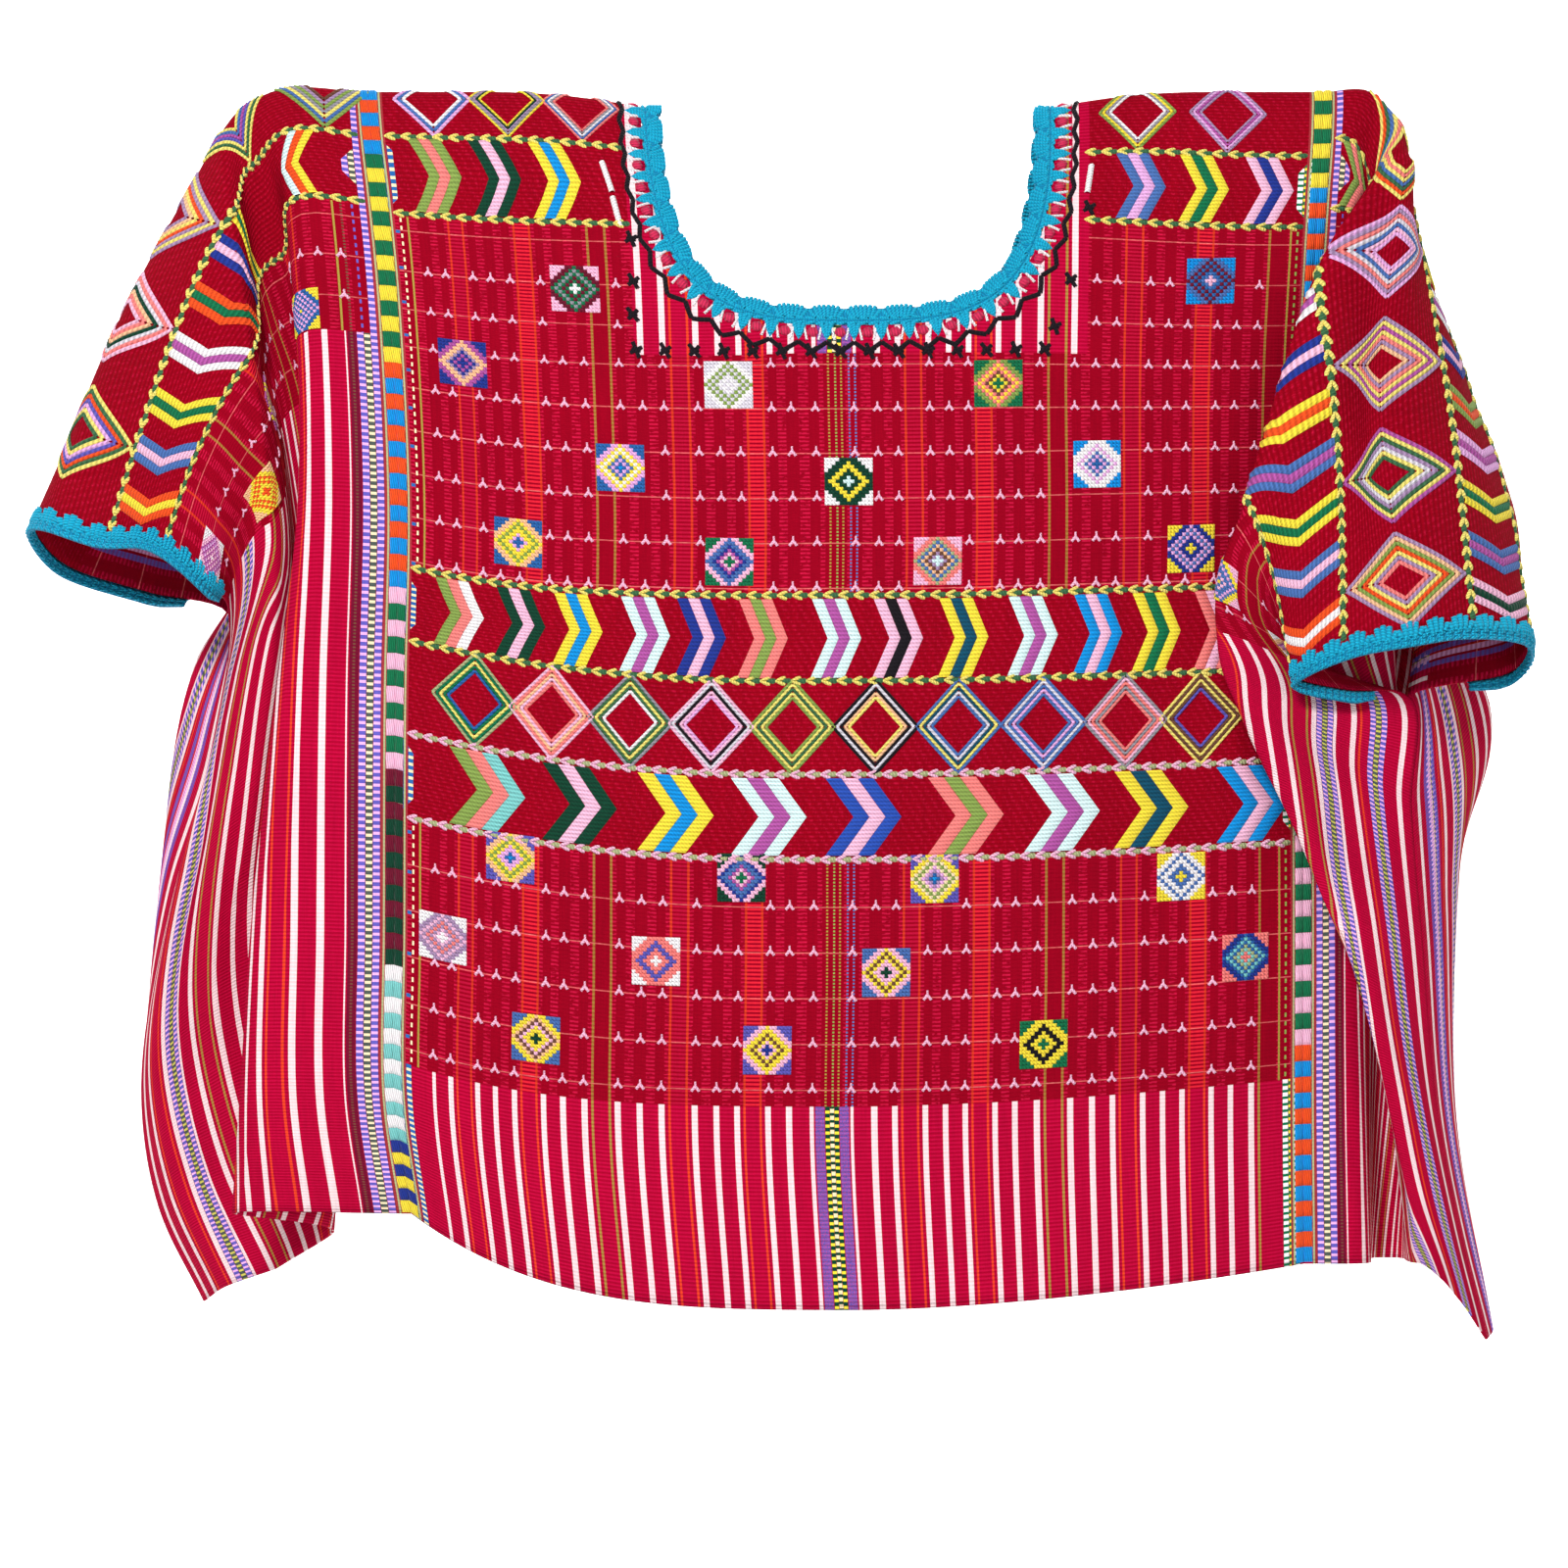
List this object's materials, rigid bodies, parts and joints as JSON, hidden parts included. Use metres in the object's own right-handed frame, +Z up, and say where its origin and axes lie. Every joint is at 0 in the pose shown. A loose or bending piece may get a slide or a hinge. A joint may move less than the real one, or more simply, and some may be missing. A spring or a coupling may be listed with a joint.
{
  "type": "huipil blouse",
  "caption": "Hollow, draped blouse of three lengths of warp-striped, brocaded cloth joined by wide stitched seams, with crochet round the neck and both short sleeves.",
  "frame": {"origin": "middle of the shoulder fold, on top, where the shoulders carry the blouse", "axes": "+X towards the garment's left sleeve (the right-hand one seen from the front), +Y towards the back, +Z up"},
  "size_m": [0.793, 0.1816, 0.6564],
  "materials": {
    "cloth": "matte rep weave with brocade",
    "side_cloth": "matte rep weave with brocade",
    "randa_green": "satin stitch",
    "randa_blue": "satin stitch",
    "crochet": "crochet cotton"
  },
  "bodies": {
    "root": {"centre_panel": "cloth", "left_panel": "side_cloth", "right_panel": "side_cloth", "left_randa": "randa_green", "right_randa": "randa_blue", "neck_edging": "crochet", "left_cuff_edging": "crochet", "right_cuff_edging": "crochet"}
  },
  "joints": []
}
